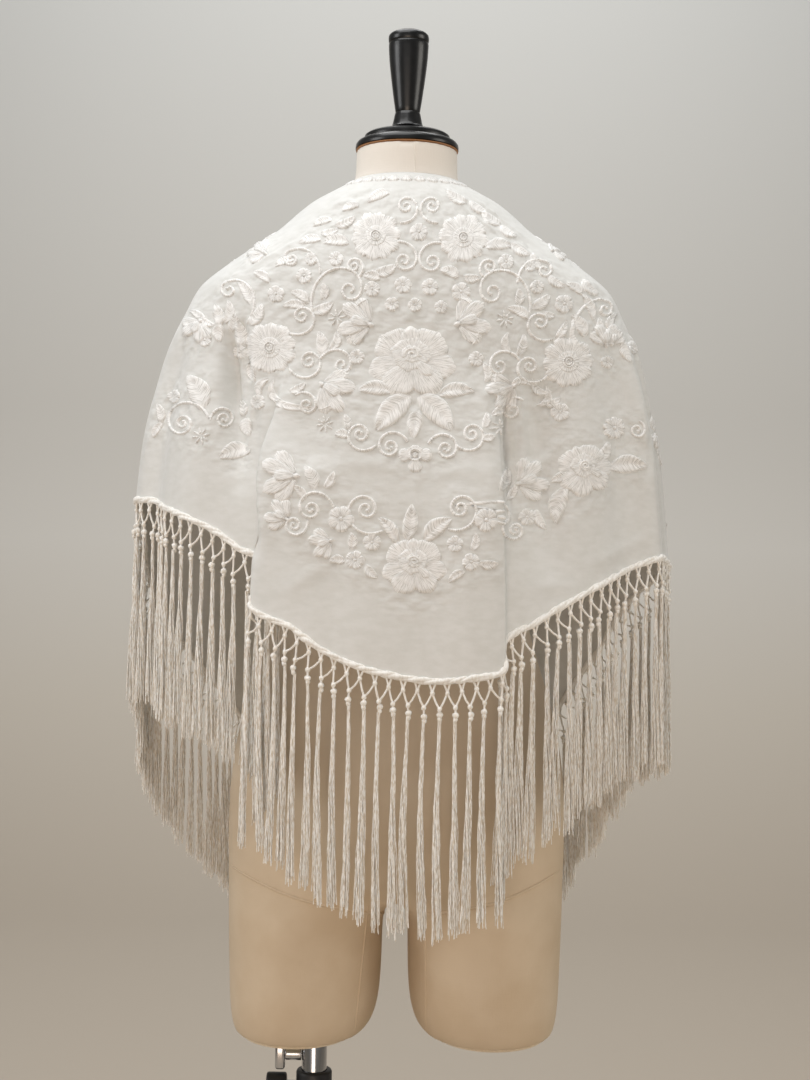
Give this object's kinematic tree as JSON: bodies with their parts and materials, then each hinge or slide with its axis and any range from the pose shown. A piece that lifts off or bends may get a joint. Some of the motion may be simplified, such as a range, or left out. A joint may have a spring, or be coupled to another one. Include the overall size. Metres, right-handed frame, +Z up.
{
  "type": "manila shawl on a dress form",
  "caption": "White embroidered silk manila shawl with a knotted net heading and long fringe, draped over a cream canvas dress form with a turned cap on an adjustable steel stand",
  "frame": {"origin": "centre of the round base's underside, on the floor", "axes": "+Z up, -Y towards the figure's back, which the shawl's point and the picture's camera face, +X to the right seen from behind"},
  "size_m": [0.5387, 0.41, 1.6085],
  "materials": {
    "silk_crepe": "white silk crepe with a soft sheen",
    "silk_fringe": "ivory silk floss, twisted, knotted and frayed, with a soft sheen",
    "silk_floss": "white silk satin stitch, glossy along the stitches",
    "canvas": "cream cotton canvas, matt",
    "black_lacquered_wood": "black lacquer, gloss",
    "end_board": "cream painted board, matt",
    "chromed_steel": "chrome plated, polished",
    "black_steel": "black enamel, satin",
    "black_plastic": "black moulded plastic, satin"
  },
  "bodies": {
    "stand": {"stand_base": "black_steel", "stand_foot": "chromed_steel", "stand_tube": "chromed_steel", "stand_collar": "black_plastic", "knob_stem": "chromed_steel", "stand_knob": "black_plastic"},
    "form": {"shawl_cloth": "silk_crepe", "fringe_left_front": "silk_fringe", "fringe_left_back": "silk_fringe", "fringe_centre_back": "silk_fringe", "fringe_right_back": "silk_fringe", "fringe_right_front": "silk_fringe", "rose_centre": "silk_floss", "rose_low": "silk_floss", "rose_side": "silk_floss", "open_flower_upper_left": "silk_floss", "open_flower_upper_right": "silk_floss", "open_flower_left": "silk_floss", "open_flower_right": "silk_floss", "form_body": "canvas", "neck_cap": "black_lacquered_wood", "finial": "black_lacquered_wood", "end_plate_left": "end_board", "end_plate_right": "end_board", "sliding_pole": "chromed_steel", "clamp_screw": "chromed_steel", "clamp_lever": "chromed_steel"}
  },
  "joints": [
    {"name": "height", "type": "slide", "parent": "stand", "child": "form", "axis": [0, 0, 1], "range_m": [0, 0.25]}
  ]
}
